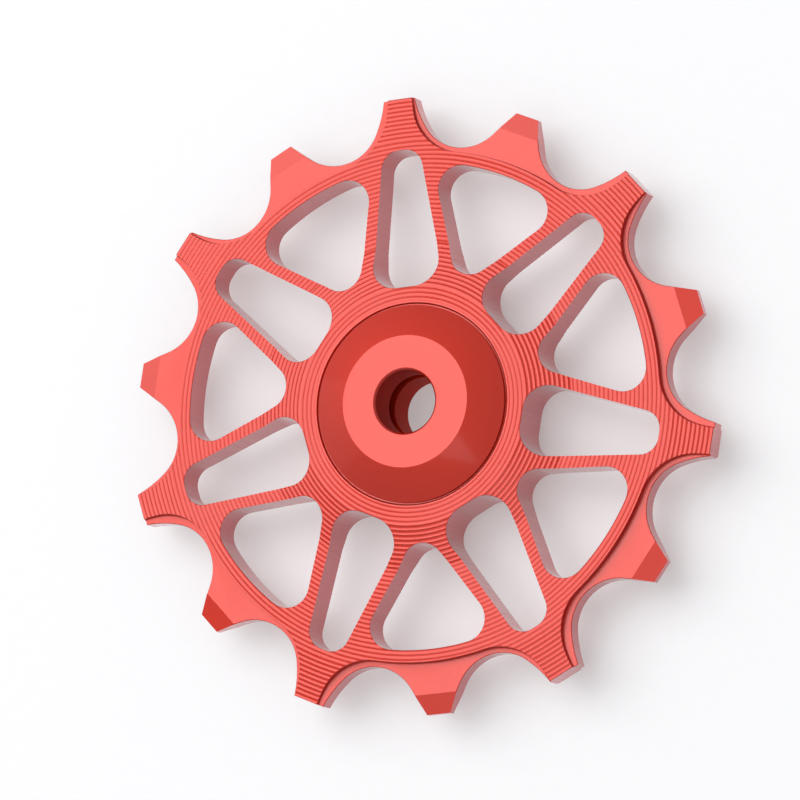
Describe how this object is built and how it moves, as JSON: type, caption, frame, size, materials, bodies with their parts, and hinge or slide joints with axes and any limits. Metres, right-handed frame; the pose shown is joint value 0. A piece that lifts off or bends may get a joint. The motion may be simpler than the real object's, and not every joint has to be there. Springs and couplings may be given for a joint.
{
  "type": "derailleur jockey wheel",
  "caption": "Toothed jockey wheel with alternating narrow and wide teeth, zigzag spokes, a sealed ball bearing and two cone-shaped covers with a through bore.",
  "frame": {"origin": "on the wheel's axis, at the outer face of the rear cover, on which it stands", "axes": "+Z along the axis towards the front cover, +Y from the axis through a wide tooth, +X to the right of it"},
  "size_m": [0.0584, 0.0587, 0.0086],
  "materials": {
    "anodised_face": "red anodised aluminium, finely turned in concentric grooves",
    "anodised_cover": "red anodised aluminium, satin",
    "bearing_steel": "ground and polished bearing steel",
    "ceramic": "polished dark ceramic, opaque",
    "seal_rubber": "black moulded rubber",
    "cage_nylon": "black moulded nylon"
  },
  "bodies": {
    "covers": {"front_cover": "anodised_cover", "rear_cover": "anodised_cover", "bearing_inner_race": "bearing_steel"},
    "wheel": {"wheel_body": "anodised_face", "bearing_outer_race": "bearing_steel", "front_seal": "seal_rubber", "rear_seal": "seal_rubber"},
    "cage": {"ball_cage": "cage_nylon"},
    "ball_01": {"ball_01": "ceramic"},
    "ball_02": {"ball_02": "ceramic"},
    "ball_03": {"ball_03": "ceramic"},
    "ball_04": {"ball_04": "ceramic"},
    "ball_05": {"ball_05": "ceramic"},
    "ball_06": {"ball_06": "ceramic"},
    "ball_07": {"ball_07": "ceramic"},
    "ball_08": {"ball_08": "ceramic"},
    "ball_09": {"ball_09": "ceramic"}
  },
  "joints": [
    {"name": "wheel_spin", "type": "hinge", "parent": "covers", "child": "wheel", "pos_m": [0, 0, 0.0043], "axis": [0, 0, 1], "continuous": true},
    {"name": "cage_spin", "type": "hinge", "parent": "covers", "child": "cage", "pos_m": [0, 0, 0.0043], "axis": [0, 0, 1], "continuous": true},
    {"name": "ball_01_roll", "type": "hinge", "parent": "cage", "child": "ball_01", "pos_m": [0, 0.006, 0.0043], "axis": [0, 0, 1], "continuous": true},
    {"name": "ball_02_roll", "type": "hinge", "parent": "cage", "child": "ball_02", "pos_m": [-0.00386, 0.0046, 0.0043], "axis": [0, 0, 1], "continuous": true},
    {"name": "ball_03_roll", "type": "hinge", "parent": "cage", "child": "ball_03", "pos_m": [-0.00591, 0.00104, 0.0043], "axis": [0, 0, 1], "continuous": true},
    {"name": "ball_04_roll", "type": "hinge", "parent": "cage", "child": "ball_04", "pos_m": [-0.0052, -0.003, 0.0043], "axis": [0, 0, 1], "continuous": true},
    {"name": "ball_05_roll", "type": "hinge", "parent": "cage", "child": "ball_05", "pos_m": [-0.00205, -0.00564, 0.0043], "axis": [0, 0, 1], "continuous": true},
    {"name": "ball_06_roll", "type": "hinge", "parent": "cage", "child": "ball_06", "pos_m": [0.00205, -0.00564, 0.0043], "axis": [0, 0, 1], "continuous": true},
    {"name": "ball_07_roll", "type": "hinge", "parent": "cage", "child": "ball_07", "pos_m": [0.0052, -0.003, 0.0043], "axis": [0, 0, 1], "continuous": true},
    {"name": "ball_08_roll", "type": "hinge", "parent": "cage", "child": "ball_08", "pos_m": [0.00591, 0.00104, 0.0043], "axis": [0, 0, 1], "continuous": true},
    {"name": "ball_09_roll", "type": "hinge", "parent": "cage", "child": "ball_09", "pos_m": [0.00386, 0.0046, 0.0043], "axis": [0, 0, 1], "continuous": true}
  ],
  "couplings": [
    {"joint": "cage_spin", "follows": "wheel_spin", "ratio": 0.59917},
    {"joint": "ball_01_roll", "follows": "wheel_spin", "ratio": 2.4218},
    {"joint": "ball_02_roll", "follows": "wheel_spin", "ratio": 2.4218},
    {"joint": "ball_03_roll", "follows": "wheel_spin", "ratio": 2.4218},
    {"joint": "ball_04_roll", "follows": "wheel_spin", "ratio": 2.4218},
    {"joint": "ball_05_roll", "follows": "wheel_spin", "ratio": 2.4218},
    {"joint": "ball_06_roll", "follows": "wheel_spin", "ratio": 2.4218},
    {"joint": "ball_07_roll", "follows": "wheel_spin", "ratio": 2.4218},
    {"joint": "ball_08_roll", "follows": "wheel_spin", "ratio": 2.4218},
    {"joint": "ball_09_roll", "follows": "wheel_spin", "ratio": 2.4218}
  ]
}
